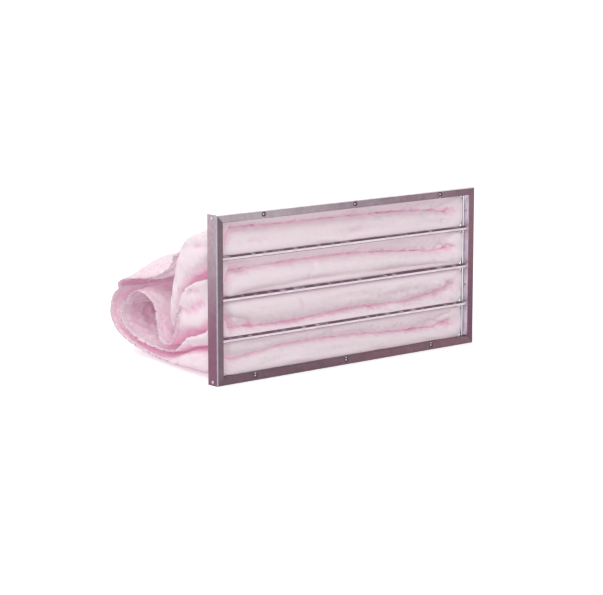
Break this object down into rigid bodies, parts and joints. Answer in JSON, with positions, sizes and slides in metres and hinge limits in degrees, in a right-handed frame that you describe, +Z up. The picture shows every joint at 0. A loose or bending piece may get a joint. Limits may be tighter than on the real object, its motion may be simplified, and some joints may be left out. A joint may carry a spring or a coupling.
{
  "type": "bag air filter",
  "caption": "Bag air filter: a folded metal header frame with soft fabric pockets behind it, held apart at their mouths by thin metal separators.",
  "frame": {"origin": "middle of the header's underside, at mid-depth of its outer web", "axes": "+X along the header, to the right seen from the front; +Y from the header's front face back along the pockets; +Z up"},
  "size_m": [0.5946, 0.4179, 0.287],
  "materials": {
    "galvanised_sheet": "bright galvanised sheet with a faint spangle",
    "bright_steel": "bright zinc-plated rivets, clips and wire",
    "filter_fleece": "soft matt non-woven fleece, pale pink"
  },
  "bodies": {
    "root": {"header_bottom": "galvanised_sheet", "header_top": "galvanised_sheet", "header_left": "galvanised_sheet", "header_right": "galvanised_sheet", "corner_angle_bottom_left": "galvanised_sheet", "corner_angle_bottom_right": "galvanised_sheet", "corner_angle_top_left": "galvanised_sheet", "corner_angle_top_right": "galvanised_sheet", "corner_rivet_bottom_left": "bright_steel", "corner_rivet_bottom_right": "bright_steel", "corner_rivet_top_left": "bright_steel", "corner_rivet_top_right": "bright_steel", "separator_1": "galvanised_sheet", "separator_2": "galvanised_sheet", "separator_3": "galvanised_sheet", "separator_clip_left_1": "bright_steel", "separator_clip_left_2": "bright_steel", "separator_clip_left_3": "bright_steel", "separator_clip_right_1": "bright_steel", "separator_clip_right_2": "bright_steel", "separator_clip_right_3": "bright_steel", "clip_rivet_left_1": "bright_steel", "clip_rivet_left_2": "bright_steel", "clip_rivet_left_3": "bright_steel", "clip_rivet_right_1": "bright_steel", "clip_rivet_right_2": "bright_steel", "clip_rivet_right_3": "bright_steel", "side_wire_left": "bright_steel", "side_wire_right": "bright_steel", "pocket_1": "filter_fleece", "pocket_2": "filter_fleece", "pocket_3": "filter_fleece", "pocket_4": "filter_fleece"}
  },
  "joints": []
}
